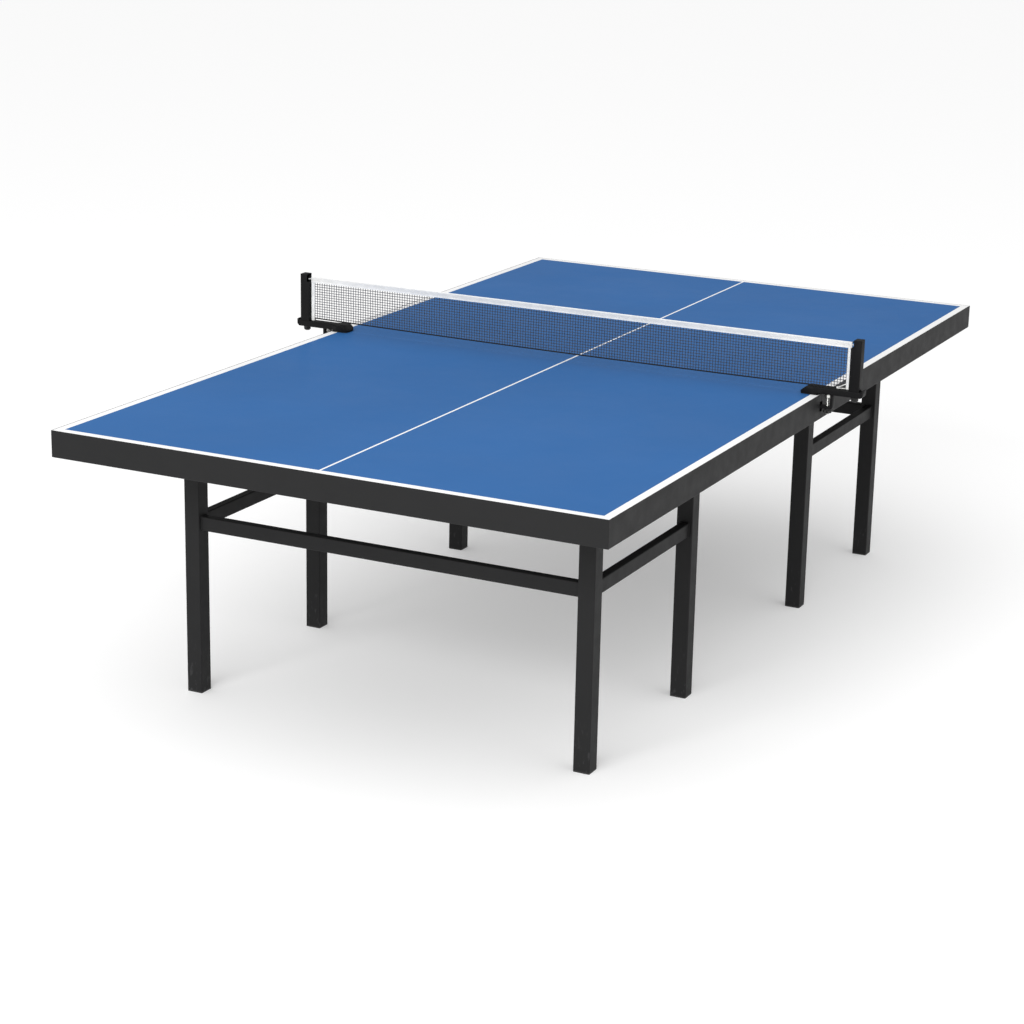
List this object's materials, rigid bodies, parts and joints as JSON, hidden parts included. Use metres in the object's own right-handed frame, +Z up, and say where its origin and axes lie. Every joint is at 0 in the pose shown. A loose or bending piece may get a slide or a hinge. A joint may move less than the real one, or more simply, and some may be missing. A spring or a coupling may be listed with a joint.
{
  "type": "ping pong table",
  "caption": "Ping pong table in separable halves on square steel legs with low rails, with a clamp-on net on posts with height adjusters.",
  "frame": {"origin": "on the floor, under the middle of the net", "axes": "+Y along the table's length from the near end to the far end, +X to the right, +Z up"},
  "size_m": [1.764, 2.74, 0.92],
  "materials": {
    "painted_board": "blue satin table paint on board, with white lines and dark edges",
    "frame_steel": "charcoal powder coat",
    "cap_plastic": "moulded black plastic",
    "zinc_fastener": "bright zinc plate",
    "bush_brass": "turned brass",
    "clamp_steel": "black powder coat",
    "pad_rubber": "moulded rubber",
    "knob_plastic": "moulded black plastic",
    "net_thread": "dark knotted netting thread",
    "net_tape": "white woven cotton tape",
    "net_cord": "braided cord"
  },
  "bodies": {
    "near_half": {"near_board": "painted_board", "near_end_apron": "frame_steel", "near_left_apron": "frame_steel", "near_right_apron": "frame_steel", "near_centre_beam": "frame_steel", "near_outer_bearer": "frame_steel", "near_inner_bearer": "frame_steel", "near_left_outer_leg": "frame_steel", "near_right_outer_leg": "frame_steel", "near_left_inner_leg": "frame_steel", "near_right_inner_leg": "frame_steel", "near_end_rail": "frame_steel", "near_left_rail": "frame_steel", "near_right_rail": "frame_steel", "near_leg_plates": "frame_steel", "near_leg_bolts": "zinc_fastener", "near_board_screws": "zinc_fastener", "near_foot_caps": "cap_plastic", "dowel_pins": "zinc_fastener", "left_clamp_arm": "clamp_steel", "right_clamp_arm": "clamp_steel", "upper_jaw_pads": "pad_rubber", "clamp_studs": "zinc_fastener", "stud_nuts": "zinc_fastener"},
    "far_half": {"far_board": "painted_board", "far_end_apron": "frame_steel", "far_left_apron": "frame_steel", "far_right_apron": "frame_steel", "far_centre_beam": "frame_steel", "far_outer_bearer": "frame_steel", "far_inner_bearer": "frame_steel", "far_left_outer_leg": "frame_steel", "far_right_outer_leg": "frame_steel", "far_left_inner_leg": "frame_steel", "far_right_inner_leg": "frame_steel", "far_end_rail": "frame_steel", "far_left_rail": "frame_steel", "far_right_rail": "frame_steel", "far_leg_plates": "frame_steel", "far_leg_bolts": "zinc_fastener", "far_board_screws": "zinc_fastener", "far_foot_caps": "cap_plastic", "dowel_bushes": "bush_brass"},
    "left_jaw": {"left_lower_jaw": "clamp_steel", "left_lower_pad": "pad_rubber"},
    "right_jaw": {"right_lower_jaw": "clamp_steel", "right_lower_pad": "pad_rubber"},
    "left_knob": {"left_clamp_knob": "knob_plastic"},
    "right_knob": {"right_clamp_knob": "knob_plastic"},
    "net_set": {"left_net_post": "clamp_steel", "right_net_post": "clamp_steel", "post_hooks": "clamp_steel", "net_mesh": "net_thread", "net_tape": "net_tape", "net_sleeves": "net_tape", "net_rods": "zinc_fastener", "net_cords": "net_cord"},
    "left_adjuster": {"left_height_knob": "knob_plastic"},
    "right_adjuster": {"right_height_knob": "knob_plastic"}
  },
  "joints": [
    {"name": "halves_part", "type": "slide", "parent": "near_half", "child": "far_half", "axis": [0, 1, 0], "range_m": [0, 0.4]},
    {"name": "left_jaw_slide", "type": "slide", "parent": "near_half", "child": "left_jaw", "axis": [0, 0, -1], "range_m": [0, 0.008]},
    {"name": "left_knob_turn", "type": "hinge", "parent": "left_jaw", "child": "left_knob", "pos_m": [-0.781, 0, 0.716], "axis": [0, 0, -1], "range_deg": [0, 1925]},
    {"name": "right_jaw_slide", "type": "slide", "parent": "near_half", "child": "right_jaw", "axis": [0, 0, -1], "range_m": [0, 0.008]},
    {"name": "right_knob_turn", "type": "hinge", "parent": "right_jaw", "child": "right_knob", "pos_m": [0.781, 0, 0.716], "axis": [0, 0, -1], "range_deg": [0, 1925]},
    {"name": "net_lift", "type": "slide", "parent": "near_half", "child": "net_set", "axis": [0, 0, 1], "range_m": [0, 0.008]},
    {"name": "left_height_turn", "type": "hinge", "parent": "near_half", "child": "left_adjuster", "pos_m": [-0.856, 0, 0.756], "axis": [0, 0, -1], "range_deg": [0, 2310]},
    {"name": "right_height_turn", "type": "hinge", "parent": "near_half", "child": "right_adjuster", "pos_m": [0.856, 0, 0.756], "axis": [0, 0, -1], "range_deg": [0, 2310]}
  ],
  "couplings": [
    {"joint": "left_knob_turn", "follows": "left_jaw_slide", "rad_per_m": 4188.8},
    {"joint": "right_knob_turn", "follows": "right_jaw_slide", "rad_per_m": 4188.8},
    {"joint": "left_height_turn", "follows": "net_lift", "rad_per_m": 5026.5},
    {"joint": "right_height_turn", "follows": "net_lift", "rad_per_m": 5026.5}
  ]
}
